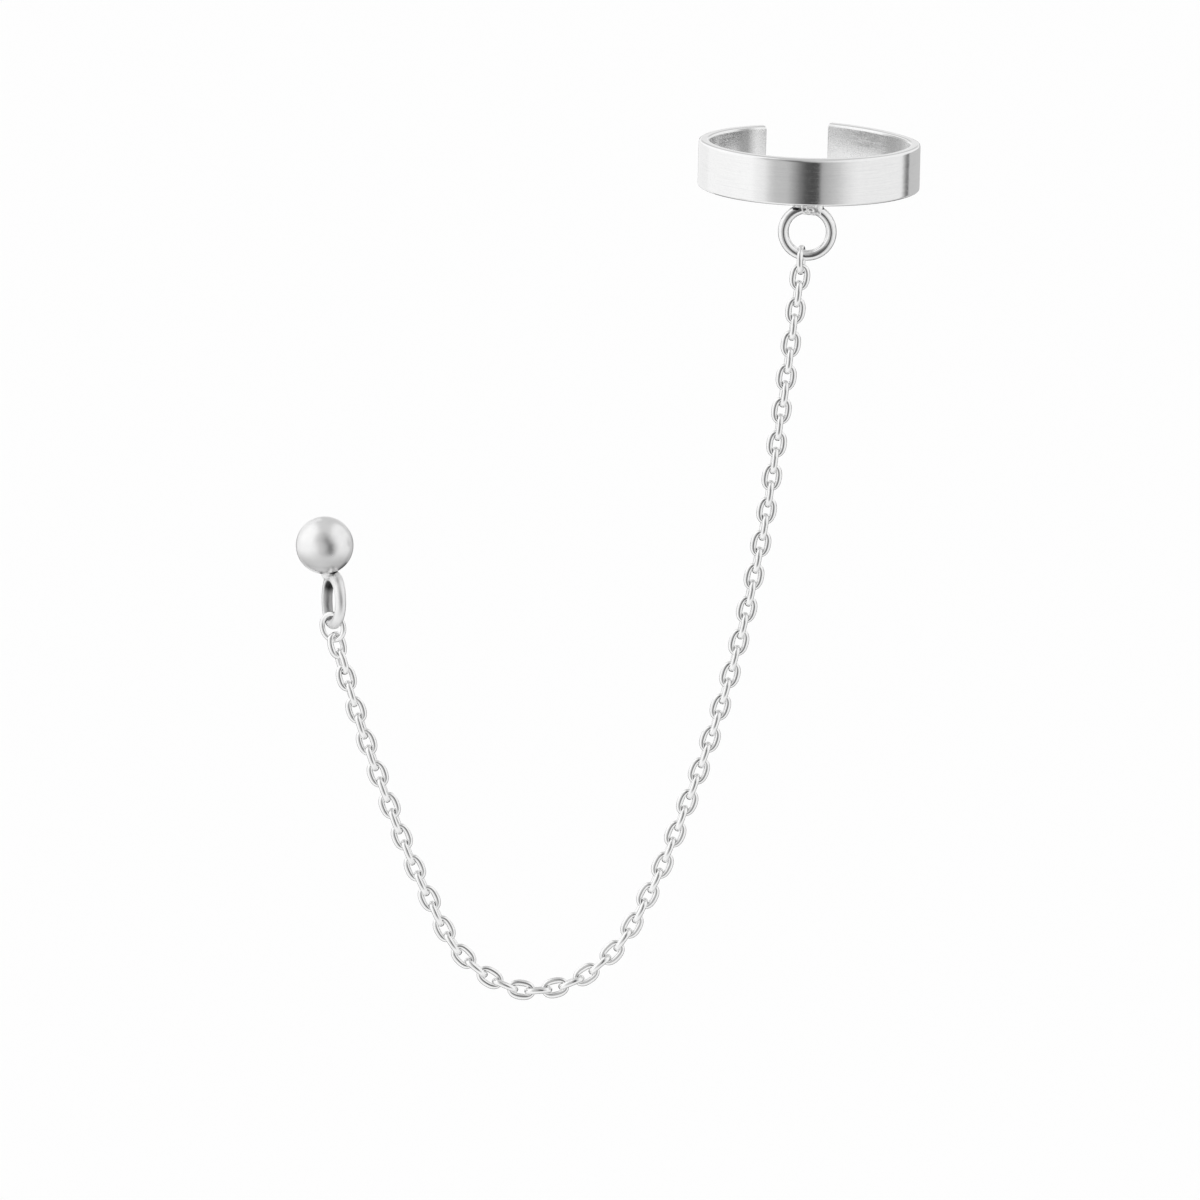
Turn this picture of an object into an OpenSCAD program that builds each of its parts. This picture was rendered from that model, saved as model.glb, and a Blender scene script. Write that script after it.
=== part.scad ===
// Ear cuff joined by a hanging cable chain to a ball stud.
// Millimetres. The origin is the centre of the cuff's round front, half way up its band.
// +Z is up, -Y is the side that faces the viewer, and the stud hangs towards -X.

/* [Ear cuff] */
// Outside diameter of the cuff's round front
cuff_d = 11.7; // [10:0.1:14]
// Height of the flat band
band_h = 2.5; // [1.8:0.1:4]
// Thickness of the flat band
band_t = 0.57; // [0.45:0.01:0.8]
// Rounding of the band's four long edges
edge_r = 0.16; // [0.05:0.01:0.2]
// Degrees that the round front reaches to each side of its middle
front_turn = 75; // [60:1:85]
// Radius of the tighter bend at each side, to the middle of the band
side_r = 3.5; // [3:0.1:4.5]
// Degrees of the bend at the left side
left_bend = 35; // [20:1:50]
// Degrees of the bend at the right side
right_bend = 45; // [20:1:50]
// Radius of the left arm behind the ear, to the middle of the band
left_arm_r = 4.8; // [4:0.1:8]
// Degrees that the left arm turns
left_arm_turn = 51; // [30:1:55]
// Radius of the right arm behind the ear, to the middle of the band
right_arm_r = 8.7; // [6:0.1:12]
// Degrees that the right arm turns
right_arm_turn = 36; // [20:1:38]

/* [Ring under the cuff] */
// Outside diameter of the ring
ring_d = 3.05; // [2.6:0.05:4]
// Wire of the ring
ring_wire = 0.55; // [0.4:0.01:0.6]
// How far the ring is let into the band's lower edge
ring_sink = 0.15; // [0.1:0.01:0.3]
// Width of the solder between the ring and the band
solder_w = 1.3; // [0.8:0.1:1.8]
// Height of the solder below the band's lower edge
solder_h = 0.42; // [0.25:0.01:0.5]
// Thickness of the solder, front to back
solder_t = 0.46; // [0.3:0.01:0.5]
// How far the solder has run to the right of the ring's middle
solder_run = 0.2; // [0:0.05:0.3]

/* [Jump rings] */
// Outside length of the two oval jump rings
jump_l = 1.72; // [1.6:0.01:1.9]
// Outside width of the jump rings
jump_w = 1.5; // [1.4:0.01:1.6]
// Wire of the jump rings
jump_wire = 0.25; // [0.2:0.01:0.27]
// Degrees round the cuff's ring, from its lowest point, where the upper jump ring hangs
upper_jump_swing = 13; // [0:1:25]
// Degrees that the upper jump ring is turned from edge-on
upper_jump_turn = 7; // [0:1:20]
// Degrees that the lower jump ring is turned from face-on
lower_jump_turn = 20; // [10:1:24]
// Degrees that the lower jump ring leans with the chain's pull
lower_jump_lean = 12; // [0:1:20]

/* [Chain] */
// Outside length of a link, before the links are shared evenly along the chain
link_l = 1.53; // [1.4:0.01:1.7]
// Outside width of a link
link_w = 1.07; // [1:0.01:1.3]
// Wire of a link
link_wire = 0.25; // [0.2:0.01:0.27]
// Clearance where two links, or a link and a ring, hang in each other
play = 0.13; // [0.1:0.01:0.14]
// Degrees that the chain is turned from face-on
chain_turn = 8; // [0:1:20]
// Degrees that the last link is turned the other way from face-on
last_link_turn = 34; // [28:1:50]
// Links over which the chain twists to its last link
twist_links = 4; // [3:1:10]

/* [Ball stud] */
// Diameter of the ball
ball_d = 3; // [2.5:0.1:4]
// Distance of the ball's centre to the left of the cuff's axis
stud_left = 24.7; // [24:0.1:26]
// Distance of the ball's centre below the cuff's mid-height
stud_drop = 19.9; // [19:0.1:20.5]
// Outside diameter of the loop under the ball
loop_d = 3; // [2.6:0.05:3.4]
// Wire of the loop
loop_wire = 0.57; // [0.4:0.01:0.6]
// Degrees that the loop is turned from face-on
loop_turn = 73; // [60:1:85]
// Degrees that the loop hangs to the right of straight down
loop_tilt = 9.7; // [0:0.1:15]
// How far the loop is let into the ball's solder
loop_sink = 0.05; // [0.02:0.01:0.15]
// Diameter of the solder between the ball and the loop
neck_d = 0.95; // [0.7:0.05:1.1]
// Diameter of the post that goes through the ear lobe
post_d = 0.8; // [0.7:0.05:1]
// Length of the post behind the ball
post_l = 10; // [8:0.5:12]
// Length of the cone at the post's tip
post_tip = 0.25; // [0.1:0.05:0.4]
// Degrees that the post leans down towards its tip
post_lean = 10; // [0:1:20]

/* [Hidden] */
$fn = 48;
silver = "silver";

// The chain's hanging curve between its two jump rings: chosen points, across and up
chain_route = [
    [-1.1, -12.1],
    [-2.0, -19.2],
    [-3.4, -26.1],
    [-5.4, -32.8],
    [-7.4, -38.0],
    [-9.1, -41.0],
    [-11.2, -42.7],
    [-13.8, -43.2],
    [-17.0, -41.4],
    [-18.8, -38.4],
    [-21.0, -33.5],
    [-22.9, -28.4]
];
// Steps in which each stretch of the curve is measured
curve_steps = 24;

// Cuff and its ring
band_r = (cuff_d - band_t) / 2;
hang_y = -band_r;
// A bend behind the front starts this many degrees inside the one before it
seam_turn = 1;
// and is this much slimmer on every side
seam_slim = 0.004;
ring_r = (ring_d - ring_wire) / 2;
ring_z = -band_h / 2 + ring_sink - ring_d / 2;

// Jump rings: half of the opening's length, then where each ring's centre hangs
jump_in = jump_l / 2 - jump_wire;
upper_hang = [-ring_r * sin(upper_jump_swing), hang_y, ring_z - ring_r * cos(upper_jump_swing)];
upper_jump_at = upper_hang - [0, 0, jump_in - play - ring_wire / 2];
// The chain's end joint lies half the play inside a jump ring's lowest point
joint_drop = jump_in - play / 2;
chain_start = [upper_jump_at.x, upper_jump_at.z - joint_drop];

// Stud and its loop
stud_at = [-stud_left, hang_y, -stud_drop];
loop_r = (loop_d - loop_wire) / 2;
loop_drop = (ball_d + loop_d) / 2 - loop_sink;
loop_at = stud_at + loop_drop * [sin(loop_tilt), 0, -cos(loop_tilt)];
lower_hang = loop_at - [0, 0, loop_r];
lower_pull = [sin(lower_jump_lean), 0, -cos(lower_jump_lean)];
lower_jump_at = lower_hang + (jump_in - play - loop_wire / 2) * lower_pull;
chain_end = [lower_jump_at.x + joint_drop * lower_pull.x, lower_jump_at.z + joint_drop * lower_pull.z];

// A smooth curve through the route's points
route = concat([chain_start], chain_route, [chain_end]);
route_last = len(route) - 1;
gaps = [for (i = [0 : route_last - 1]) norm(route[i + 1] - route[i])];
slopes = [for (i = [0 : route_last - 1]) (route[i + 1] - route[i]) / gaps[i]];
function inner_tangent(i) = (slopes[i - 1] * gaps[i] + slopes[i] * gaps[i - 1]) / (gaps[i - 1] + gaps[i]);
function tangent(i) =
    i == 0 ? 1.5 * slopes[0] - 0.5 * inner_tangent(1) :
    i == route_last ? 1.5 * slopes[route_last - 1] - 0.5 * inner_tangent(route_last - 1) :
    inner_tangent(i);
function on_stretch(i, t) =
    (2 * t ^ 3 - 3 * t ^ 2 + 1) * route[i] + (t ^ 3 - 2 * t ^ 2 + t) * gaps[i] * tangent(i) +
    (3 * t ^ 2 - 2 * t ^ 3) * route[i + 1] + (t ^ 3 - t ^ 2) * gaps[i] * tangent(i + 1);
curve = concat(
    [for (i = [0 : route_last - 1], k = [0 : curve_steps - 1]) on_stretch(i, k / curve_steps)],
    [route[route_last]]
);
curve_last = len(curve) - 1;
// Length of the curve up to each of its points
reach = [
    for (i = 0, s = 0;
         i <= curve_last;
         i = i + 1, s = i <= curve_last ? s + norm(curve[i] - curve[i - 1]) : s) s
];
chain_l = reach[curve_last];

// An odd number of links, so that the first and the last lie the same way round
link_step_wish = link_l - 2 * link_wire - play;
link_count = 2 * round((chain_l / link_step_wish - 1) / 2) + 1;
link_step = chain_l / link_count;
link_out = link_step + 2 * link_wire + play;

function before(s, low, high) =
    high - low <= 1 ? low :
    let (middle = floor((low + high) / 2))
    reach[middle] <= s ? before(s, middle, high) : before(s, low, middle);
function joint(k) =
    let (s = min(k * link_step, chain_l))
    let (i = before(s, 0, curve_last))
    let (t = (s - reach[i]) / (reach[i + 1] - reach[i]))
    let (p = curve[i] + t * (curve[i + 1] - curve[i]))
    [p.x, hang_y, p.y];
joints = [for (k = [0 : link_count]) joint(k)];

// Every second link is a quarter turn round, and the last few twist towards the lower jump ring
function twist(k) = max(0, 1 - (link_count - 1 - k) / twist_links);
function link_turn(k) = chain_turn - (chain_turn + last_link_turn) * twist(k) + (k % 2) * 90;

function unit(v) = v / norm(v);

// The band's section with its long edges rounded, slimmer by a given amount on every side
module band_section(slim) {
    flat_h = band_h - 2 * edge_r;
    flat_t = band_t - 2 * edge_r;
    union() {
        square([band_t - 2 * slim, flat_h], center = true);
        square([flat_t, band_h - 2 * slim], center = true);
        for (x = [-1, 1], y = [-1, 1])
            translate([x * flat_t / 2, y * flat_h / 2])
                circle(r = edge_r - slim);
    }
}

// A bend of the band about the origin, from one angle through a turn
module band_bend(r, from, turn, slim = 0) {
    rotate([0, 0, from])
        rotate_extrude(angle = turn)
            translate([r, 0])
                band_section(slim);
}

// One side of the cuff behind its round front, drawn for the right side
module cuff_arm(bend, arm_r, arm_turn) {
    rotate([0, 0, front_turn - 90])
        translate([band_r - side_r, 0, 0]) {
            band_bend(side_r, -seam_turn, bend + seam_turn, seam_slim);
            rotate([0, 0, bend])
                translate([side_r - arm_r, 0, 0])
                    band_bend(arm_r, -seam_turn, arm_turn + seam_turn, 2 * seam_slim);
        }
}

// A round wire ring about the Y axis
module wire_ring(r, wire) {
    rotate([90, 0, 0])
        rotate_extrude()
            translate([r, 0])
                circle(d = wire);
}

module ear_cuff() {
    color(silver) {
        band_bend(band_r, -90 - front_turn, 2 * front_turn);
        cuff_arm(right_bend, right_arm_r, right_arm_turn);
        mirror([1, 0, 0])
            cuff_arm(left_bend, left_arm_r, left_arm_turn);
        translate([0, hang_y, ring_z])
            wire_ring(ring_r, ring_wire);
        translate([solder_run, hang_y, -band_h / 2])
            cube([solder_w, solder_t, 2 * solder_h], center = true);
    }
}

// An oval wire ring in the XY plane about the origin, long along Y
module oval_ring(length, width, wire) {
    bow_r = (width - wire) / 2;
    // Half of a straight leg, to a whole thousandth so that its ends meet the bows
    leg_half = round((length - width) * 500) / 1000;
    for (side = [-1, 1]) {
        translate([side * bow_r, leg_half, 0])
            rotate([90, 0, 0])
                cylinder(h = 2 * leg_half, d = wire);
        rotate([0, 0, side < 0 ? 180 : 0])
            translate([0, leg_half, 0])
                rotate_extrude(angle = 180)
                    translate([bow_r, 0])
                        circle(d = wire);
    }
}

// A jump ring that hangs upright across the Y axis
module jump_ring() {
    rotate([90, 0, 0])
        oval_ring(jump_l, jump_w, jump_wire);
}

module upper_jump_ring() {
    color(silver)
        translate(upper_jump_at)
            rotate([0, 0, 90 - upper_jump_turn])
                jump_ring();
}

// A link between two joints, turned about the line between them
module placed_link(a, b, turn) {
    along = unit(b - a);
    flat = [-along.z, 0, along.x];
    side = cos(turn) * flat + sin(turn) * [0, 1, 0];
    face = cross(side, along);
    middle = (a + b) / 2;
    multmatrix([
        [side.x, along.x, face.x, middle.x],
        [side.y, along.y, face.y, middle.y],
        [side.z, along.z, face.z, middle.z],
        [0, 0, 0, 1]
    ])
        oval_ring(link_out, link_w, link_wire);
}

module chain() {
    color(silver)
        for (k = [0 : link_count - 1])
            placed_link(joints[k], joints[k + 1], link_turn(k));
}

module lower_jump_ring() {
    color(silver)
        translate(lower_jump_at)
            rotate([0, -lower_jump_lean, 0])
                rotate([0, 0, -lower_jump_turn])
                    jump_ring();
}

module ball_stud() {
    color(silver) {
        translate(stud_at)
            sphere(d = ball_d);
        translate(loop_at)
            rotate([0, 0, -loop_turn])
                wire_ring(loop_r, loop_wire);
        translate(stud_at)
            rotate([0, 180 - loop_tilt, 0])
                cylinder(h = loop_drop - loop_r, d = neck_d);
        translate(stud_at)
            rotate([-90 - post_lean, 0, 0]) {
                cylinder(h = ball_d / 2 + post_l - post_tip, d = post_d);
                translate([0, 0, ball_d / 2 + post_l - post_tip])
                    cylinder(h = post_tip, d1 = post_d, d2 = post_d - post_tip);
            }
    }
}

ear_cuff();
upper_jump_ring();
chain();
lower_jump_ring();
ball_stud();
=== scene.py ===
import math
import random

import bmesh
import bpy
from mathutils import Matrix, Vector, noise


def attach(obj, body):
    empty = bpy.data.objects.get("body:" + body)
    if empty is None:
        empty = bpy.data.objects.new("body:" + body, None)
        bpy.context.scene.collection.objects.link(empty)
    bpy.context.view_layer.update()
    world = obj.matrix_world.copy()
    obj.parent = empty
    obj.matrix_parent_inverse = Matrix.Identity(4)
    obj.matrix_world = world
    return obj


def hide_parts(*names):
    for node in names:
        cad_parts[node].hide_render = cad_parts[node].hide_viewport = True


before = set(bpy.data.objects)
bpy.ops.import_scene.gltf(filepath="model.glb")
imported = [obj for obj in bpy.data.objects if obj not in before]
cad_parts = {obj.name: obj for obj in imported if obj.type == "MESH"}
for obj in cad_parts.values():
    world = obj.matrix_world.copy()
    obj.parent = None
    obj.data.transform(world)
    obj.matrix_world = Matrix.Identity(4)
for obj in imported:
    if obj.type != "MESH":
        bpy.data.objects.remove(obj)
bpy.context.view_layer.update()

# Every size below is in millimetres and every angle in degrees, as in the part's source
MM = 0.001
RIGHTWARD = Vector((1, 0, 0))
FRONTWARD = Vector((0, -1, 0))
BACKWARD = Vector((0, 1, 0))
UPWARD = Vector((0, 0, 1))
random.seed(7)


def sin(a):
    return math.sin(math.radians(a))


def cos(a):
    return math.cos(math.radians(a))


# Sizes of the part, as in its source

CUFF_D, BAND_H, BAND_T, EDGE_R = 11.7, 2.5, 0.57, 0.16
FRONT_TURN, SIDE_R = 75, 3.5
# Each arm: the turn of its side bend, then its own radius and turn
LEFT_ARM = (35, 4.8, 51)
RIGHT_ARM = (45, 8.7, 36)
BAND_R = (CUFF_D - BAND_T) / 2
HANG_Y = -BAND_R
RING_D, RING_WIRE = 3.05, 0.55
RING_R = (RING_D - RING_WIRE) / 2
RING_Z = -BAND_H / 2 + 0.15 - RING_D / 2

PLAY, JUMP_L, JUMP_WIRE = 0.13, 1.72, 0.25
JUMP_IN = JUMP_L / 2 - JUMP_WIRE
JOINT_DROP = JUMP_IN - PLAY / 2
UPPER_SWING, UPPER_TURN = 13, 7
LOWER_TURN, LOWER_LEAN = 20, 12
UPPER_HANG = Vector((-RING_R * sin(UPPER_SWING), HANG_Y, RING_Z - RING_R * cos(UPPER_SWING)))
UPPER_JUMP_AT = UPPER_HANG - Vector((0, 0, JUMP_IN - PLAY - RING_WIRE / 2))

BALL_D, LOOP_D, LOOP_WIRE = 3.0, 3.0, 0.57
BALL_R = BALL_D / 2
LOOP_TURN, LOOP_TILT, LOOP_SINK = 73, 9.7, 0.05
POST_D, POST_L, POST_TIP, POST_LEAN = 0.8, 10, 0.25, 10
STUD_AT = Vector((-24.7, HANG_Y, -19.9))
LOOP_R = (LOOP_D - LOOP_WIRE) / 2
LOOP_DROP = (BALL_D + LOOP_D) / 2 - LOOP_SINK
LOOP_AT = STUD_AT + LOOP_DROP * Vector((sin(LOOP_TILT), 0, -cos(LOOP_TILT)))
LOWER_PULL = Vector((sin(LOWER_LEAN), 0, -cos(LOWER_LEAN)))
LOWER_JUMP_AT = LOOP_AT - Vector((0, 0, LOOP_R)) + (JUMP_IN - PLAY - LOOP_WIRE / 2) * LOWER_PULL

LINK_COUNT, CHAIN_TURN, LAST_TURN, TWIST_LINKS = 73, 8, 34, 4
CHAIN_ROUTE = [
    (-1.1, -12.1), (-2.0, -19.2), (-3.4, -26.1), (-5.4, -32.8), (-7.4, -38.0), (-9.1, -41.0),
    (-11.2, -42.7), (-13.8, -43.2), (-17.0, -41.4), (-18.8, -38.4), (-21.0, -33.5), (-22.9, -28.4),
]

# Finer forms that only the scene has

# The ends of the cuff's arms are rounded by these radii, seen from outside and from above
END_CORNER, END_EDGE = 0.08, 0.07
# Sections along the band lie this far apart, and at these distances from an arm's end
SECTION_STEP = 0.1
END_SECTIONS = (0.22, 0.17, 0.13, 0.1, 0.075, 0.055, 0.035, 0.02, 0.01, 0.003, 0.0)
# A narrow strip beside each rounded edge keeps its shading off the flat faces
CORNER_STEPS, CORNER_STRIP = 8, 0.012
# The band's inner face ends this far below its top and above its bottom
INSIDE_MARGIN = 0.06

# The lump of solder over the cuff's ring: middle, half sizes and squareness of its round
SOLDER_AT = Vector((0.19, HANG_Y, -1.42))
SOLDER_HALF, SOLDER_SQUARE = (0.65, 0.31, 0.29), 0.62
# Below SOLDER_LOW it narrows and, over SOLDER_SOFT, begins to follow the ring's round
SOLDER_LOW, SOLDER_SOFT, SOLDER_NARROW, SOLDER_BEND = -1.35, 0.25, 0.35, 0.16
# Nothing of it stands out past this
SOLDER_FRONT = -5.9
# Unevenness of the solder: how fine and how high
SOLDER_GRAIN = ((4.3, 0.035), (11.0, 0.018))
# Place, size and how far the front goes back there, or stands out where the number is below zero
SOLDER_DENTS = [
    (Vector((-0.17, -5.86, -1.38)), 0.075, 0.13),
    (Vector((-0.1, -5.86, -1.5)), 0.06, 0.1),
    (Vector((0.14, -5.86, -1.46)), 0.075, 0.15),
    (Vector((0.78, -5.84, -1.36)), 0.06, 0.1),
    (Vector((0.5, -5.84, -1.44)), 0.13, -0.045),
    (Vector((0.66, -5.82, -1.6)), 0.12, -0.05),
    (Vector((-0.32, -5.84, -1.45)), 0.14, -0.04),
    (Vector((0.32, -5.84, -1.35)), 0.1, -0.03),
]

# Links and jump rings as the photograph shows them, where the source has plain wire of one thickness:
# length, width, wire at the bows, wire at the legs, wire across, squareness of the oval
LINK_SHOWN = (1.45, 1.06, 0.255, 0.33, 0.32, 2.4)
UPPER_SHOWN = (1.565, 1.46, 0.22, 0.29, 0.3, 2.1)
LOWER_SHOWN = (1.66, 1.44, 0.275, 0.275, 0.275, 2.1)
# Loose links tip over by this much where the chain lies level
LEVEL_TIP = 10.5
# Chance turns of the links and chance differences in their width and wire, and in the jump rings' wire
LINK_SWAY, LINK_WIDER, LINK_UNEVEN, JUMP_UNEVEN = 4, 0.015, 0.015, 0.01

# The hollow of solder under the ball: where it leaves the ball, how it draws in and its end in the loop
NECK_R, NECK_IN, NECK_DROP = 0.5, 0.11, 0.16
NECK_END = [(0.385, 1.62), (0.37, 1.68), (0.31, 1.74), (0.2, 1.77), (0, 1.78)]
# The neck grows uneven from this depth under the ball's middle, over this length: how fine and how high
ROUGH_FROM, ROUGH_SOFT, ROUGH_FINE, ROUGH_HIGH = 1.42, 0.08, 3.0, 0.012
# The loop bows to the right by LOOP_BOW and is thicker over its top, in its plane and across it
LOOP_BOW, LOOP_TOP_FLAT, LOOP_TOP_DEEP = 0.055, 0.1, 0.04
# The rounded root of the post: its radius on the ball and its length
ROOT_R, ROOT_L = 0.53, 0.14

# Numbers of steps along and round each surface
WIRE_STEPS, WIRE_SIDES = 128, 28
JUMP_STEPS, JUMP_SIDES = 72, 20
LINK_STEPS, LINK_SIDES = 48, 14
BALL_STEPS, BALL_SIDES = 72, 112
NECK_STEPS, ROOT_STEPS, POST_SIDES = 8, 6, 48
CURVE_STEPS = 24

# Numbers of the materials on the cuff and on the stud
FRONT_FACE, RING_FACE, SOLDER_FACE, INNER_FACE = range(4)
BALL_FACE, LOOP_FACE = range(2)


# Mesh helpers

class Shell:
    """Points and faces of one piece, added surface by surface, each face with its material's number."""

    def __init__(self):
        self.points, self.faces, self.marks = [], [], []

    def add(self, points, faces, mark=0):
        """Add a surface. mark is one number for all of its faces, or a list with one for each."""
        base = len(self.points)
        self.points += [Vector(p) for p in points]
        self.faces += [[base + i for i in f] for f in faces]
        self.marks += mark if isinstance(mark, list) else [mark] * len(faces)

    def piece(self, name, node, materials):
        mesh = bpy.data.meshes.new(name)
        mesh.from_pydata([p * MM for p in self.points], [], self.faces)
        for m in materials:
            mesh.materials.append(m)
        mesh.polygons.foreach_set("material_index", self.marks)
        mesh.polygons.foreach_set("use_smooth", [True] * len(self.faces))
        mesh.update()
        made = bpy.data.objects.new(name, mesh)
        bpy.context.scene.collection.objects.link(made)
        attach(made, "root")
        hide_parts(node)
        return made


def grid_faces(rows, columns, closed_rows=False):
    """Quads between rows of points, each row a closed ring."""
    faces = []
    for i in range(rows if closed_rows else rows - 1):
        a, b = i * columns, (i + 1) % rows * columns
        for j in range(columns):
            k = (j + 1) % columns
            faces.append((a + j, b + j, b + k, a + k))
    return faces


def circle(at, r, side):
    """Centre line of an upright ring of wire, with side as the level direction in its plane."""
    turns = [360 * i / WIRE_STEPS for i in range(WIRE_STEPS)]
    return [at + r * (cos(a) * side + sin(a) * UPWARD) for a in turns]


def wire_loop(path, across, halves, sides):
    """A closed wire along path. across is the unit direction square to the loop's plane, and halves
    gives half the wire's width in that plane and across it, for each share of the way round."""
    n = len(path)
    points = []
    for i, p in enumerate(path):
        along = (path[(i + 1) % n] - path[i - 1]).normalized()
        out = along.cross(across).normalized()
        flat, deep = halves(i / n)
        for j in range(sides):
            a = 360 * j / sides
            points.append(p + flat * cos(a) * out + deep * sin(a) * across)
    return points, grid_faces(n, sides, True)


def oval_path(half_length, half_width, square, steps):
    """Centre line of an oval ring in the XY plane, long along Y. A square of 2 gives an ellipse."""
    path = []
    for i in range(steps):
        x, y = cos(360 * i / steps), sin(360 * i / steps)
        path.append(Vector((half_width * math.copysign(abs(x) ** (2 / square), x),
                            half_length * math.copysign(abs(y) ** (2 / square), y), 0)))
    return path


def lathe(profile, at, axis, start, steps):
    """A surface turned about axis from (radius, distance along the axis) pairs. Radius 0 closes an end."""
    side = axis.cross(start).normalized()
    front = side.cross(axis).normalized()
    points, faces, rings = [], [], []
    for r, t in profile:
        if r == 0:
            rings.append([len(points)])
            points.append(at + t * axis)
        else:
            rings.append(list(range(len(points), len(points) + steps)))
            for j in range(steps):
                a = 360 * j / steps
                points.append(at + t * axis + r * (cos(a) * front + sin(a) * side))
    for low, high in zip(rings, rings[1:]):
        for j in range(steps):
            k = (j + 1) % steps
            if len(low) == 1:
                faces.append((low[0], high[k], high[j]))
            elif len(high) == 1:
                faces.append((low[j], low[k], high[0]))
            else:
                faces.append((low[j], low[k], high[k], high[j]))
    return points, faces


def axes_at(x, y, z, at):
    """The matrix that lays X, Y and Z along three directions from a point."""
    return Matrix([(x[i], y[i], z[i], at[i]) for i in range(3)] + [(0, 0, 0, 1)])


def turned(at, *turns):
    """A place and its turns, the outermost first."""
    made = Matrix.Translation(at)
    for axis, angle in turns:
        made = made @ Matrix.Rotation(math.radians(angle), 4, axis)
    return made


# Material helpers

class Graph:
    """Short names for the shader nodes that the materials use."""

    def __init__(self, tree):
        self.tree = tree
        tree.nodes.clear()

    def node(self, kind, **settings):
        made = self.tree.nodes.new(kind)
        for name, value in settings.items():
            setattr(made, name, value)
        return made

    def put(self, socket, value):
        if isinstance(value, bpy.types.NodeSocket):
            self.tree.links.new(value, socket)
        else:
            socket.default_value = value

    def math(self, operation, *values):
        made = self.node("ShaderNodeMath", operation=operation)
        for socket, value in zip(made.inputs, values):
            self.put(socket, value)
        return made.outputs[0]

    def plus(self, a, b):
        return self.math("ADD", a, b)

    def times(self, a, b):
        return self.math("MULTIPLY", a, b)

    def step(self, value, low, high, to_low=0.0, to_high=1.0):
        """A smooth step of value from to_low at low to to_high at high. low may be the greater."""
        made = self.node("ShaderNodeMapRange", interpolation_type="SMOOTHSTEP")
        self.put(made.inputs["Value"], value)
        for name, number in (("From Min", low), ("From Max", high), ("To Min", to_low), ("To Max", to_high)):
            made.inputs[name].default_value = number
        return made.outputs["Result"]

    def ramp(self, value, stops, low=0.0, high=1.0):
        """Colour along stops of (place, grey or colour), with places from low to high."""
        made = self.node("ShaderNodeValToRGB")
        band = made.color_ramp
        while len(band.elements) < len(stops):
            band.elements.new(1.0)
        for element, (place, shade) in zip(band.elements, stops):
            element.position = (place - low) / (high - low)
            element.color = (*shade, 1) if isinstance(shade, tuple) else (shade, shade, shade, 1)
        share = self.math("DIVIDE", self.math("SUBTRACT", value, low), high - low)
        self.put(made.inputs["Fac"], share)
        return made.outputs["Color"]

    def mix(self, share, a, b, kind="MIX"):
        made = self.node("ShaderNodeMix", data_type="RGBA", blend_type=kind)
        self.put(made.inputs["Factor"], share)
        for socket, value in ((made.inputs[6], a), (made.inputs[7], b)):
            if isinstance(value, float):
                value = (value, value, value, 1)
            self.put(socket, value)
        return made.outputs[2]

    def noise(self, vector, scale, detail=2.0, roughness=0.5, distortion=0.0):
        made = self.node("ShaderNodeTexNoise")
        self.put(made.inputs["Vector"], vector)
        made.inputs["Scale"].default_value = scale
        made.inputs["Detail"].default_value = detail
        made.inputs["Roughness"].default_value = roughness
        made.inputs["Distortion"].default_value = distortion
        return made.outputs["Fac"]

    def bump(self, height, distance, strength, normal=None):
        """The surface's direction with bumps as high as distance, in millimetres, at a strength of 1."""
        made = self.node("ShaderNodeBump")
        made.inputs["Strength"].default_value = strength
        made.inputs["Distance"].default_value = distance * MM
        self.put(made.inputs["Height"], height)
        if normal is not None:
            self.put(made.inputs["Normal"], normal)
        return made.outputs["Normal"]

    def place_mm(self):
        """The point on the object in millimetres, as a vector and its three numbers."""
        where = self.node("ShaderNodeTexCoord").outputs["Object"]
        scaled = self.node("ShaderNodeVectorMath", operation="SCALE")
        self.put(scaled.inputs[0], where)
        scaled.inputs["Scale"].default_value = 1 / MM
        parts = self.node("ShaderNodeSeparateXYZ")
        self.put(parts.inputs[0], scaled.outputs[0])
        return scaled.outputs[0], parts.outputs[0], parts.outputs[1], parts.outputs[2]

    def away(self, place, spot, stretch=(1.0, 1.0, 1.0)):
        """Distance in millimetres from a spot, each axis counted more or less by stretch."""
        scaled = self.node("ShaderNodeVectorMath", operation="MULTIPLY")
        self.put(scaled.inputs[0], place)
        scaled.inputs[1].default_value = stretch
        made = self.node("ShaderNodeVectorMath", operation="DISTANCE")
        self.put(made.inputs[0], scaled.outputs[0])
        made.inputs[1].default_value = [a * b for a, b in zip(spot, stretch)]
        return made.outputs["Value"]

    def vector(self, x, y, z):
        made = self.node("ShaderNodeCombineXYZ")
        for socket, value in zip(made.inputs, (x, y, z)):
            self.put(socket, value)
        return made.outputs[0]

    def turn(self, x, y, size):
        """The angle round Z from the front to the right, in radians times size."""
        return self.times(self.math("ARCTAN2", x, self.times(y, -1.0)), size)

    def uneven(self, texture, height):
        """A texture as small differences to both sides of zero."""
        return self.times(self.math("SUBTRACT", texture, 0.5), height)

    def end(self, kind, shader):
        out = self.node(kind)
        self.put(out.inputs["Surface"], shader.outputs[0])

    def metal(self, colour, rough, normal):
        """End the graph as bare metal."""
        shader = self.node("ShaderNodeBsdfPrincipled")
        shader.inputs["Metallic"].default_value = 1.0
        self.put(shader.inputs["Base Color"], colour)
        self.put(shader.inputs["Roughness"], rough)
        self.put(shader.inputs["Normal"], normal)
        self.end("ShaderNodeOutputMaterial", shader)

    def glow(self, colour):
        """End the graph as a surface that gives light."""
        shader = self.node("ShaderNodeEmission")
        self.put(shader.inputs["Color"], colour)
        self.end("ShaderNodeOutputMaterial", shader)


def new_material(name):
    made = bpy.data.materials.new(name)
    made.use_nodes = True
    return made, Graph(made.node_tree)


# The metals, with places and textures counted in millimetres

# Radius at which lengths round the cuff are counted
ROUND_R = 5.6
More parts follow.
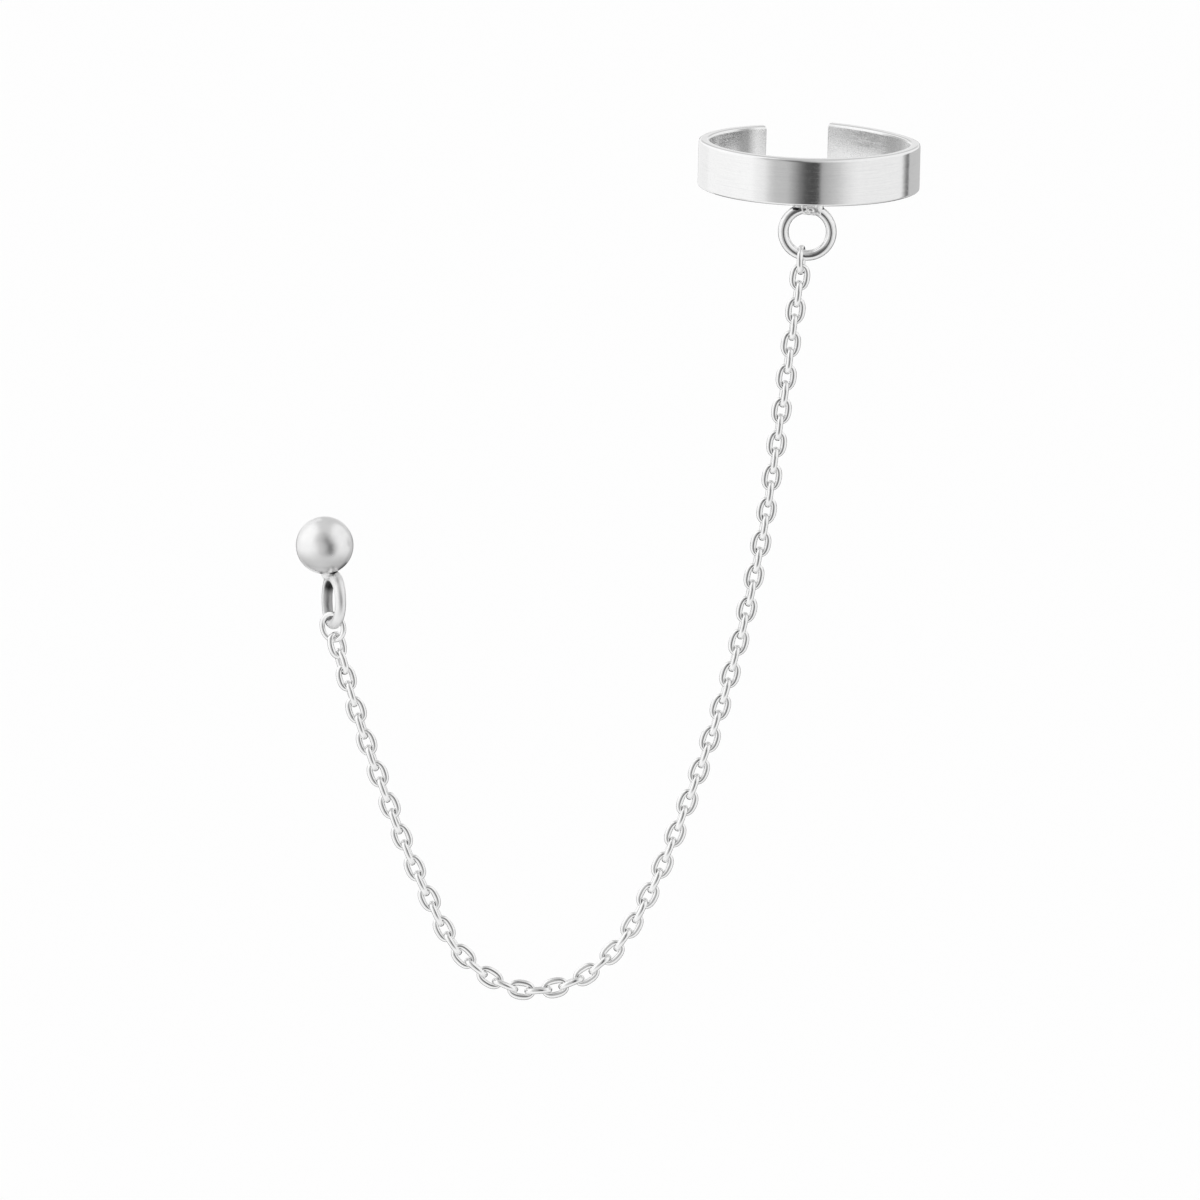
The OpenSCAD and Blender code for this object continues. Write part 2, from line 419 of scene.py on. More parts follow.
# Painted shade on the cuff's inside: how much of its light it gives back along its round, darker in two
# places
INNER_PAINTED_SHADE = [
    (-17.6, 1.0), (-13.5, 1.0), (-13.1, 0.72), (-12.8, 0.48), (-12.3, 0.55), (-11.9, 0.88),
    (-11.4, 1.0), (8.9, 1.0), (9.4, 0.7), (10.1, 0.5), (10.9, 0.5), (11.5, 0.66),
    (12.1, 0.92), (12.7, 1.0), (17.6, 1.0),
]
# Painted shade in the gap beside the solder, flatter than it is wide, with the radii where it ends and is
# full
PAINTED_SHADE_AT, PAINTED_SHADE_STRETCH, PAINTED_SHADE_R = (-0.6, -5.72, -1.39), (1.0, 1.0, 3.0), (0.29, 0.17)
# Painted shade in the solder's pits, where its front is dented: place, stretch of each axis, and the radii
# where it ends and is full
SOLDER_PIT_SHADE = [
    ((-0.17, -5.86, -1.41), (1.0, 0.3, 0.7), 0.09, 0.05),
    ((0.12, -5.86, -1.45), (1.0, 1.0, 1.0), 0.09, 0.05),
    ((0.82, -5.8, -1.38), (1.0, 0.3, 0.3), 0.08, 0.04),
]
# The near black of the painted shade on the ring and the loop
PAINTED_BLACK = 0.03


def cuff_silver():
    """Polished flat band with fine rubbing lines that run round it."""
    made, g = new_material("cuff_silver")
    place, x, y, z = g.place_mm()
    along = g.turn(x, y, ROUND_R)
    fine_lines = g.vector(g.times(along, 0.55), g.times(z, 24.0), g.times(y, 0.3))
    lines = g.noise(fine_lines, 1.0, detail=4.0, roughness=0.62)
    bands = g.noise(g.vector(g.times(along, 0.35), g.times(z, 3.2), 0.0), 1.0)
    spots = g.noise(place, 5.5, detail=3.0, roughness=0.6)
    rubbed = g.ramp(lines, [(0.3, (0.86, 0.86, 0.865)), (0.62, (0.95, 0.95, 0.948))])
    worn = g.ramp(spots, [(0.35, (0.88, 0.88, 0.885)), (0.6, (0.95, 0.95, 0.945))])
    rough = g.plus(g.step(lines, 0.35, 0.75, 0.07, 0.15), g.step(spots, 0.45, 0.7, 0.0, 0.05))
    soft = g.bump(bands, 0.02, 0.5)
    g.metal(g.mix(0.35, rubbed, worn), rough, g.bump(lines, 0.003, 0.4, soft))
    return made


def inner_silver():
    """The cuff's inside, left duller than its front, with streaks that run round it, and painted shade in two
    places along its round.
    """
    made, g = new_material("inner_silver")
    place, x, y, z = g.place_mm()
    along = g.turn(x, y, ROUND_R)
    long_streaks = g.vector(g.times(along, 0.4), g.times(z, 9.0), 0.0)
    streaks = g.noise(long_streaks, 1.0, detail=4.0, roughness=0.6)
    upright_streaks = g.vector(g.times(along, 5.0), g.times(z, 0.6), 3.0)
    upright = g.noise(upright_streaks, 1.0, detail=3.0, roughness=0.6)
    spots = g.noise(place, 5.5, detail=3.0, roughness=0.6)
    rubbed = g.ramp(streaks, [(0.3, (0.86, 0.86, 0.865)), (0.62, (0.96, 0.96, 0.958))])
    crossed = g.ramp(upright, [(0.35, (0.86, 0.86, 0.865)), (0.65, (0.96, 0.96, 0.955))])
    # Painted shade: the inside's colour is darkened in two places along its round
    inner_shade = g.ramp(along, INNER_PAINTED_SHADE, INNER_PAINTED_SHADE[0][0], INNER_PAINTED_SHADE[-1][0])
    tone = g.mix(1.0, g.mix(0.4, rubbed, crossed), inner_shade, "MULTIPLY")
    rough = g.plus(g.step(streaks, 0.3, 0.75, 0.18, 0.28), g.step(spots, 0.4, 0.7, 0.0, 0.06))
    g.metal(tone, rough, g.bump(streaks, 0.002, 0.25))
    return made


def wire_textures(g, place):
    """Wide spots and fine drawing marks, as all the thin wire has them."""
    spots = g.noise(place, 3.1, detail=3.0, roughness=0.6)
    fine = g.noise(place, 14.0, detail=3.0, roughness=0.65)
    return spots, fine


def ring_silver():
    """The cuff's soldered ring: bright wire, with painted shade in the corner beside the solder."""
    made, g = new_material("ring_silver")
    place = g.place_mm()[0]
    spots, fine = wire_textures(g, place)
    # Painted shade: the ring is painted near black in the gap between it, the band and the solder
    reach = g.plus(g.away(place, PAINTED_SHADE_AT, PAINTED_SHADE_STRETCH), g.uneven(fine, 0.2))
    bright = g.ramp(spots, [(0.3, (0.88, 0.88, 0.885)), (0.62, (0.95, 0.95, 0.948))])
    tone = g.mix(g.step(reach, *PAINTED_SHADE_R), bright, PAINTED_BLACK)
    g.metal(tone, g.step(fine, 0.3, 0.75, 0.09, 0.18), g.bump(fine, 0.004, 0.5))
    return made


def wire_silver():
    """Bright drawn wire with faint drawing marks."""
    made, g = new_material("wire_silver")
    spots, fine = wire_textures(g, g.place_mm()[0])
    bright = g.ramp(spots, [(0.3, (0.93, 0.93, 0.932)), (0.62, (0.985, 0.985, 0.982))])
    g.metal(bright, g.step(fine, 0.3, 0.75, 0.06, 0.13), g.bump(fine, 0.004, 0.5))
    return made


def ball_silver():
    """Softly polished ball: a fine even haze, a few rubbed places, and a greyer belt of painted shade above
    the joint.
    """
    made, g = new_material("ball_silver")
    place, _, _, z = g.place_mm()
    cloud = g.noise(place, 1.1, detail=3.0, roughness=0.55)
    fine = g.noise(place, 16.0, detail=3.0, roughness=0.6)
    bright = g.ramp(cloud, [(0.3, (0.88, 0.88, 0.882)), (0.65, (0.95, 0.948, 0.945))])
    # Painted shade: the belt darkens to 0.75 below the ball's middle and has cleared again at 1.3 below it
    belt_shade_top = g.step(z, STUD_AT.z + 0.1, STUD_AT.z - 0.75, 1.0, 0.69)
    belt_shade_bottom = g.step(z, STUD_AT.z - 0.8, STUD_AT.z - 1.3, 0.6, 1.0)
    tone = g.mix(1.0, bright, g.math("MAXIMUM", belt_shade_top, belt_shade_bottom), "MULTIPLY")
    rough = g.plus(g.step(cloud, 0.3, 0.7, 0.27, 0.33), g.step(fine, 0.4, 0.8, 0.0, 0.06))
    soft = g.bump(cloud, 0.02, 0.4)
    g.metal(tone, rough, g.bump(fine, 0.0025, 0.5, soft))
    return made


def loop_silver():
    """The stud's heavier wire, smoother than the ball, with painted shade inside the loop and in the corner
    under the ball.
    """
    made, g = new_material("loop_silver")
    place, x, _, _ = g.place_mm()
    cloud = g.noise(place, 1.7)
    fine = g.noise(place, 12.0, detail=3.0, roughness=0.6)
    bright = g.ramp(cloud, [(0.3, (0.86, 0.86, 0.862)), (0.65, (0.93, 0.93, 0.928))])
    # Painted shade: the loop's inside, darkest under its top, and the corner between ball and loop are
    # painted dark
    uneven = g.uneven(fine, 0.05)
    near_ball = g.step(g.plus(g.away(place, STUD_AT), uneven), BALL_R + 0.065, BALL_R + 0.02)
    corner = g.times(near_ball, g.step(x, STUD_AT.x + 0.24, STUD_AT.x + 0.36))
    inside = g.step(g.plus(g.away(place, LOOP_AT), uneven), LOOP_R - 0.055, LOOP_R - 0.215)
    top = g.step(g.away(place, LOOP_AT + 0.93 * UPWARD), 1.35, 0.8)
    shade = g.mix(inside, bright, g.mix(top, 0.42, PAINTED_BLACK))
    tone = g.mix(corner, shade, PAINTED_BLACK)
    g.metal(tone, g.step(cloud, 0.3, 0.7, 0.38, 0.46), g.bump(cloud, 0.01, 0.4))
    return made


def solder_silver():
    """Pale, grainy solder with small pits, and painted shade in the dents of its front."""
    made, g = new_material("solder_silver")
    place = g.place_mm()[0]
    grain = g.noise(place, 9.0, detail=4.0, roughness=0.65)
    pits = g.noise(place, 3.4, distortion=0.6)
    bright = g.ramp(pits, [(0.3, 0.6), (0.42, 0.88), (0.6, (0.97, 0.97, 0.96))])
    dark = 0.0
    # Painted shade: the dents in the solder's front are painted near black
    for spot, stretch, outer, full in SOLDER_PIT_SHADE:
        dark = g.math("MAXIMUM", dark, g.step(g.away(place, spot, stretch), outer, full))
    g.metal(g.mix(dark, bright, 0.04), g.step(grain, 0.3, 0.7, 0.22, 0.42), g.bump(grain, 0.03, 0.6))
    return made


# Ear cuff

def cuff_arcs(bend, arm_r, arm_turn):
    """Arcs of one side of the cuff from the middle of its front: centre, radius, first and last angle."""
    turn = FRONT_TURN - 90
    side_at = (BAND_R - SIDE_R) * Vector((cos(turn), sin(turn)))
    arm_at = side_at + (SIDE_R - arm_r) * Vector((cos(turn + bend), sin(turn + bend)))
    return [
        (Vector((0, 0)), BAND_R, -90, turn),
        (side_at, SIDE_R, turn, turn + bend),
        (arm_at, arm_r, turn + bend, turn + bend + arm_turn),
    ]


def on_arcs(arcs, s):
    """The place and the outward direction at distance s from the middle of the front."""
    for i, (at, r, first, last) in enumerate(arcs):
        here = r * math.radians(last - first)
        if s <= here or i == len(arcs) - 1:
            a = first + math.degrees(s / r)
            out = Vector((cos(a), sin(a)))
            return at + r * out, out
        s -= here


def half_sections(arm, sign):
    """Sections of one half of the cuff from its front on: length left, place, way out and side."""
    arcs = cuff_arcs(*arm)
    length = sum(r * math.radians(last - first) for _, r, first, last in arcs)
    marks = [SECTION_STEP * i for i in range(int(length / SECTION_STEP) - 2)]
    marks += [length - left for left in END_SECTIONS]
    return [(length - s, *on_arcs(arcs, s), sign) for s in (round(m, 4) for m in marks)]


def end_round(left, r):
    """How far a face has drawn in at a length left from an end that is rounded by r."""
    d = min(left, r)
    return r - math.sqrt(max(r ** 2 - (r - d) ** 2, 0))


def band_section(half_t, half_h):
    """The band's section with rounded edges, as (out, up) pairs."""
    wide, high = half_t - EDGE_R, half_h - EDGE_R
    section = []
    for sx, sy, first in ((1, 1, 0), (-1, 1, 90), (-1, -1, 180), (1, -1, 270)):
        before = (sx * half_t, sy * (high - CORNER_STRIP))
        after = (sx * (wide - CORNER_STRIP), sy * half_h)
        if sx * sy < 0:
            before, after = after, before
        section.append(before)
        for i in range(CORNER_STEPS + 1):
            a = first + 90 * i / CORNER_STEPS
            section.append((sx * wide + EDGE_R * cos(a), sy * high + EDGE_R * sin(a)))
        section.append(after)
    return section


def is_inner(one, other):
    """Whether the strip between two points of the section is the cuff's inside, the flat back."""
    height = min(abs(one[1]), abs(other[1]))
    return one[0] < 0 and other[0] < 0 and height < BAND_H / 2 - INSIDE_MARGIN


def cuff_band():
    """The bent band with its two closed ends, and the material of each face."""
    sections = half_sections(LEFT_ARM, -1)[::-1] + half_sections(RIGHT_ARM, 1)[1:]
    # On the left half the section is mirrored, so both halves wind the same way
    points = []
    for left, at, out, sign in sections:
        half_t = BAND_T / 2 - end_round(left, END_EDGE)
        half_h = BAND_H / 2 - end_round(left, END_CORNER)
        for o, up in band_section(half_t, half_h):
            points.append((sign * (at.x + o * out.x), at.y + o * out.y, up))
    plain = band_section(BAND_T / 2, BAND_H / 2)
    rows, columns = len(sections), len(plain)
    inner = [is_inner(plain[j], plain[(j + 1) % columns]) for j in range(columns)]
    faces = grid_faces(rows, columns)
    marks = [INNER_FACE if inner[i % columns] else FRONT_FACE for i in range(len(faces))]
    for row in (0, rows - 1):
        first = row * columns
        middle = len(points)
        points.append(sum((Vector(p) for p in points[first:first + columns]), Vector()) / columns)
        for j in range(columns):
            cap = (first + j, first + (j + 1) % columns, middle)
            faces.append(cap[::-1] if row == 0 else cap)
            marks.append(FRONT_FACE)
    return points, faces, marks


def ring_solder():
    """The lump of solder that runs along the top of the ring, with its pits and its side lumps."""
    bm = bmesh.new()
    bmesh.ops.create_icosphere(bm, subdivisions=5, radius=1.0)
    points = []
    for v in bm.verts:
        power = [math.copysign(abs(c) ** SOLDER_SQUARE, c) for c in v.co.normalized()]
        p = SOLDER_AT + Vector([half * c for half, c in zip(SOLDER_HALF, power)])
        low = max(0, SOLDER_LOW - p.z)
        p.x = SOLDER_AT.x + (p.x - SOLDER_AT.x) * (1 - SOLDER_NARROW * low)
        p.z -= SOLDER_BEND * p.x ** 2 * min(1, low / SOLDER_SOFT)
        away = (p - SOLDER_AT).normalized()
        for fine, height in SOLDER_GRAIN:
            p += away * height * noise.noise(p * fine)
        for at, size, depth in SOLDER_DENTS:
            p += depth * math.exp(-((p - at).length / size) ** 2) * BACKWARD
        p.y = max(p.y, SOLDER_FRONT)
        points.append(p)
    faces = [[v.index for v in f.verts] for f in bm.faces]
    bm.free()
    return points, faces


def make_cuff():
    shell = Shell()
    shell.add(*cuff_band())
    ring = circle(Vector((0, HANG_Y, RING_Z)), RING_R, RIGHTWARD)
    shell.add(*wire_loop(ring, BACKWARD, lambda t: (RING_WIRE / 2, RING_WIRE / 2), WIRE_SIDES), RING_FACE)
    shell.add(*ring_solder(), SOLDER_FACE)
    materials = [cuff_silver(), ring_silver(), solder_silver(), inner_silver()]
    return shell.piece("ear_cuff_silver", "ear_cuff", materials)


# Jump rings and chain

def oval_wire(size, steps, sides, place, slack):
    """A wire oval put in place by a matrix, its wire uneven by a share of slack."""
    length, width, bow, leg, deep, square = size
    path = oval_path((length - bow) / 2, (width - leg) / 2, square, steps)
    phase = random.random() * math.tau

    def halves(t):
        even = 1 + slack * math.sin(math.tau * 2 * t + phase)
        flat = bow + (leg - bow) * cos(360 * t) ** 2
        return flat / 2 * even, deep / 2 * even

    points, faces = wire_loop(path, UPWARD, halves, sides)
    return [place @ p for p in points], faces


def make_upper_jump_ring(material):
    shell = Shell()
    lift = (UPPER_SHOWN[0] - JUMP_L) / 2
    place = turned(UPPER_JUMP_AT + lift * UPWARD, ("Z", 90 - UPPER_TURN), ("X", 90))
    shell.add(*oval_wire(UPPER_SHOWN, JUMP_STEPS, JUMP_SIDES, place, JUMP_UNEVEN))
    return shell.piece("upper_jump_ring_wire", "upper_jump_ring", [material])


def make_lower_jump_ring(material):
    shell = Shell()
    place = turned(LOWER_JUMP_AT, ("Y", -LOWER_LEAN), ("Z", -LOWER_TURN), ("X", 90))
    shell.add(*oval_wire(LOWER_SHOWN, JUMP_STEPS, JUMP_SIDES, place, JUMP_UNEVEN))
    return shell.piece("lower_jump_ring_wire", "lower_jump_ring", [material])


def curve_point(a, b, leave, arrive, t):
    """The point at share t of a smooth curve from a to b, with the directions at both ends."""
    start = (2 * t ** 3 - 3 * t ** 2 + 1) * a + (t ** 3 - 2 * t ** 2 + t) * leave
    return start + (3 * t ** 2 - 2 * t ** 3) * b + (t ** 3 - t ** 2) * arrive


def chain_joints():
    """The places where two links meet, evenly along the hanging curve."""
    start = Vector((UPPER_JUMP_AT.x, UPPER_JUMP_AT.z - JOINT_DROP))
    end = Vector((LOWER_JUMP_AT.x + JOINT_DROP * LOWER_PULL.x, LOWER_JUMP_AT.z + JOINT_DROP * LOWER_PULL.z))
    route = [start] + [Vector(p) for p in CHAIN_ROUTE] + [end]
    last = len(route) - 1
    gaps = [(b - a).length for a, b in zip(route, route[1:])]
    slopes = [(b - a) / g for a, b, g in zip(route, route[1:], gaps)]

    def inner(i):
        return (slopes[i - 1] * gaps[i] + slopes[i] * gaps[i - 1]) / (gaps[i - 1] + gaps[i])

    def tangent(i):
        if i == 0:
            return 1.5 * slopes[0] - 0.5 * inner(1)
        if i == last:
            return 1.5 * slopes[last - 1] - 0.5 * inner(last - 1)
        return inner(i)

    curve = []
    for i in range(last):
        leave, arrive = gaps[i] * tangent(i), gaps[i] * tangent(i + 1)
        for k in range(CURVE_STEPS):
            curve.append(curve_point(route[i], route[i + 1], leave, arrive, k / CURVE_STEPS))
    curve.append(route[last])
    reach = [0.0]
    for a, b in zip(curve, curve[1:]):
        reach.append(reach[-1] + (b - a).length)
    joints = []
    i = 0
    for k in range(LINK_COUNT + 1):
        s = k * reach[-1] / LINK_COUNT
        while i < len(curve) - 2 and reach[i + 1] <= s:
            i += 1
        t = (s - reach[i]) / (reach[i + 1] - reach[i])
        p = curve[i] + t * (curve[i + 1] - curve[i])
        joints.append(Vector((p.x, HANG_Y, p.y)))
    return joints


def link_place(a, b, turn):
    """The matrix of a link that reaches from joint a to joint b, turned about its length."""
    along = (b - a).normalized()
    level = Vector((-along.z, 0, along.x))
    side = cos(turn) * level + sin(turn) * BACKWARD
    return axes_at(side, along, side.cross(along), (a + b) / 2)


def make_chain(material):
    shell = Shell()
    joints = chain_joints()
    for k, (a, b) in enumerate(zip(joints, joints[1:])):
        along = (b - a).normalized()
        loose_turn = CHAIN_TURN * abs(along.z) + LEVEL_TIP * along.x
        # The last links twist towards the lower jump ring
        twist = max(0, 1 - (LINK_COUNT - 1 - k) / TWIST_LINKS)
        turn = loose_turn - (loose_turn + LAST_TURN) * twist + k % 2 * 90
        turn += random.uniform(-LINK_SWAY, LINK_SWAY) * (1 - twist)
        wider = random.uniform(1 - LINK_WIDER, 1 + LINK_WIDER)
        size = (LINK_SHOWN[0], LINK_SHOWN[1] * wider, *LINK_SHOWN[2:])
        shell.add(*oval_wire(size, LINK_STEPS, LINK_SIDES, link_place(a, b, turn), LINK_UNEVEN))
    return shell.piece("chain_links", "chain", [material])


# Ball stud

def ball_and_neck():
    """The ball and the hollow of solder below it, turned about the line to the loop."""
    down = Vector((sin(LOOP_TILT), 0, -cos(LOOP_TILT)))
    meet = math.degrees(math.asin(NECK_R / BALL_R))
    profile = [(0, -BALL_R)]
    for i in range(1, BALL_STEPS + 1):
        a = 180 - (180 - meet) * i / BALL_STEPS
        profile.append((BALL_R * sin(a), BALL_R * cos(a)))
    r, depth = profile[-1]
    for i in range(1, NECK_STEPS + 1):
        a = 90 * i / NECK_STEPS
        profile.append((r - NECK_IN * sin(a), depth + NECK_DROP * (1 - cos(a))))
    profile += NECK_END
    smooth, faces = lathe(profile, STUD_AT, down, FRONTWARD, BALL_SIDES)
    ball_points = 1 + BALL_SIDES * BALL_STEPS
    marks = [BALL_FACE if max(f) < ball_points else LOOP_FACE for f in faces]
    points = []
    for p in smooth:
        depth = (p - STUD_AT).dot(down)
        out = (p - STUD_AT - depth * down).normalized()
        share = max(0, min(1, (depth - ROUGH_FROM) / ROUGH_SOFT))
        points.append(p + share * ROUGH_HIGH * noise.noise(p * ROUGH_FINE) * out)
    return points, faces, marks


def stud_loop():
    """The loop, a little thicker where the solder has run over its top."""
    side = Vector((cos(LOOP_TURN), -sin(LOOP_TURN), 0))
    path = []
    for i, p in enumerate(circle(LOOP_AT, LOOP_R, side)):
        low = max(0, -sin(360 * i / WIRE_STEPS))
        path.append(p + LOOP_BOW * (1 - low ** 2) * RIGHTWARD)

    def halves(t):
        high = max(0, sin(360 * t))
        return LOOP_WIRE / 2 + LOOP_TOP_FLAT * high ** 4, LOOP_WIRE / 2 + LOOP_TOP_DEEP * high ** 2

    return wire_loop(path, side.cross(UPWARD).normalized(), halves, WIRE_SIDES)


def post():
    """The plain post with its rounded root and its short cone."""
    back = Vector((0, cos(POST_LEAN), -sin(POST_LEAN)))
    r = POST_D / 2
    root = BALL_R * cos(math.degrees(math.asin(ROOT_R / BALL_R)))
    end = BALL_R + POST_L
    tip = r - POST_TIP / 2
    # It begins inside the ball
    profile = [(0, 1.0), (0.5, 1.0)]
    for i in range(ROOT_STEPS + 1):
        a = 90 * i / ROOT_STEPS
        profile.append((ROOT_R - (ROOT_R - r) * sin(a), root + ROOT_L * (1 - cos(a))))
    profile += [(r, root + 0.25), (r, 4.0), (r, 8.0), (r, end - POST_TIP - 0.04), (r - 0.006, end - POST_TIP)]
    profile += [(tip + 0.04, end - 0.06), (tip + 0.02, end - 0.025)]
    profile += [(tip - 0.015, end - 0.006), (tip - 0.06, end), (0, end)]
    return lathe(profile, STUD_AT, back, RIGHTWARD, POST_SIDES)


def make_stud():
    shell = Shell()
    shell.add(*ball_and_neck())
    shell.add(*stud_loop(), LOOP_FACE)
    shell.add(*post(), LOOP_FACE)
    return shell.piece("ball_stud_silver", "ball_stud", [ball_silver(), loop_silver()])


# Camera

VIEW_DOWN, VIEW_ROLL = 10.5, 1.5
# The middle of the picture, to the right and up in the camera's plane before it rolls
VIEW_RIGHT, VIEW_UP = -10.291, -23.055
VIEW_SIZE, VIEW_AWAY = 62.5, 300


def make_camera():
    look = Vector((0, cos(VIEW_DOWN), -sin(VIEW_DOWN)))
    upright = Vector((0, sin(VIEW_DOWN), cos(VIEW_DOWN)))
    right = cos(VIEW_ROLL) * RIGHTWARD + sin(VIEW_ROLL) * upright
    up = -sin(VIEW_ROLL) * RIGHTWARD + cos(VIEW_ROLL) * upright
    middle = VIEW_RIGHT * RIGHTWARD + VIEW_UP * upright
    data = bpy.data.cameras.new("camera")
    data.type = "ORTHO"
    data.ortho_scale = VIEW_SIZE * MM
    data.clip_start = 0.01
    data.clip_end = 20
    camera = bpy.data.objects.new("camera", data)
    camera.matrix_world = axes_at(right, up, -look, (middle - VIEW_AWAY * look) * MM)
    bpy.context.scene.collection.objects.link(camera)
    bpy.context.scene.camera = camera


# Floor and studio. Only the metal sees the cards, and a brightness of 1 is white

FLOOR_HALF, FLOOR_Z = 9000, -110
CARD_X, CARD_Z, CARD_Y = (-110, 80), (-105, 100), -64
# Brightness along the front card: its sides with the grey between them, and the dark of the lens
CARD_SIDES = [
    (-110, 1.0), (-88, 0.92), (-64, 0.86), (-53, 0.68), (-43, 0.56), (-24, 0.52), (12, 0.36),
    (14, 0.4), (21, 0.47), (34, 0.58), (50, 0.76), (68, 0.86), (80, 0.88),
]
CARD_LENS = [
    (-24, 1.0), (-16, 0.72), (-9, 0.42), (-3, 0.22), (4, 0.17), (11.5, 0.26), (13.5, 0.9), (17, 1.0),
]
# The dark strip faces a point of the cuff's right side, this far off and at this angle from the front
STRIP_X, STRIP_Z = (-8, 8), (-26, 4)
STRIP_FROM, STRIP_AWAY, STRIP_TURN = (5.05, -2.9), 60, 118.5
STRIP_GLOW = [(-8, 0.88), (-4, 0.6), (0, 0.32), (3, 0.2), (7, 0.18), (8, 0.3)]
# Two small cards close behind the cuff's widest part keep its outer sides light
LEFT_CARD_X, RIGHT_CARD_X, BACK_CARD_Z, BACK_CARD_Y = (-9.4, -5.94), (5.92, 9.4), (-4.4, 1.3), 0.8
# Two arcs of card behind the ball keep its dark outline thin
ARC_R, ARC_Y, ARC_STEPS = (2.2, 3.6), 1.2, 16
LEFT_ARC, RIGHT_ARC = (100, 262), (-40, 80)
# Brightness of the room by direction: angles from the front to the right, then shares of the way right
HALF_TURN = 180
LEVEL_LIGHT = [
    (-180, 0.7), (-150, 0.84), (-134, 0.98), (-60, 1.0), (-30, 1.0), (60, 0.88), (112, 0.88),
    (125, 0.62), (154, 0.56), (180, 0.7),
]
LOW_LIGHT = [(-180, 0.6), (-120, 0.8), (-60, 0.96), (0, 0.9), (60, 0.84), (120, 0.66), (180, 0.6)]
HIGH_LIGHT = [(-1, 1.05), (-0.2, 1.05), (0.3, 0.95), (1, 0.93)]
# The dark disc straight behind the piece: the angles from its middle where it ends and is full, and its light
DISC_OUTER, DISC_FULL, DISC_LIGHT = 53, 35, 0.03


def stage_plane(name, corners, material, faces=((0, 1, 2, 3),)):
    mesh = bpy.data.meshes.new(name)
    mesh.from_pydata([Vector(c) * MM for c in corners], [], list(faces))
    mesh.materials.append(material)
    made = bpy.data.objects.new(name, mesh)
    bpy.context.scene.collection.objects.link(made)
    return made


def only_reflected(made):
    """Leave a card to the metal's reflections."""
    made.visible_camera = False
    made.visible_diffuse = False
    made.visible_transmission = False
    made.visible_shadow = False


def upright_card(name, x_range, z_range, y, material):
    corners = [(x_range[i], y, z_range[j]) for i, j in ((0, 0), (1, 0), (1, 1), (0, 1))]
    made = stage_plane(name, corners, material)
    only_reflected(made)
    return made


def ball_arc(name, turns, material):
    """A part of a flat ring behind the ball, between two angles."""
    corners, faces = [], []
    for i in range(ARC_STEPS + 1):
        a = turns[0] + (turns[1] - turns[0]) * i / ARC_STEPS
        for r in ARC_R:
            corners.append(STUD_AT + Vector((r * cos(a), ARC_Y, r * sin(a))))
    for i in range(ARC_STEPS):
        faces.append((2 * i, 2 * i + 1, 2 * i + 3, 2 * i + 2))
    only_reflected(stage_plane(name, corners, material, faces))


def floor_material():
    made, g = new_material("floor_white")
    shader = g.node("ShaderNodeBsdfDiffuse")
    shader.inputs["Color"].default_value = (0.97, 0.97, 0.97, 1)
    g.end("ShaderNodeOutputMaterial", shader)
    return made


def card_material():
    """What the metal sees in front of it: bright on both sides, grey between, and the dark of the lens."""
    made, g = new_material("studio_card")
    _, x, _, z = g.place_mm()
    # The pattern leans to the left as it rises
    x = g.plus(x, g.plus(g.step(z, -5, 8, 0, 18), g.step(z, 10, 90, 0, 14)))
    sides = g.ramp(x, CARD_SIDES, *CARD_X)
    lens = g.ramp(x, CARD_LENS, *CARD_X)
    # The lens fades upwards and downwards, and the card's foot is even
    tall = g.times(g.step(z, 34, 0, 0.3, 1.0), g.step(z, -68, -34))
    tall = g.times(tall, g.step(z, 80, 34))
    light = g.mix(1.0, sides, g.mix(tall, 1.0, lens), "MULTIPLY")
    g.glow(g.mix(g.step(z, -46, -76), light, 0.88))
    return made


def strip_material():
    """A narrow dark upright beside the cuff, soft on one side, seen from its own left to right."""
    made, g = new_material("studio_strip")
    x = g.place_mm()[1]
    g.glow(g.ramp(x, STRIP_GLOW, *STRIP_X))
    return made


def even_glow(name, strength):
    made, g = new_material(name)
    g.glow((strength, strength, strength, 1))
    return made


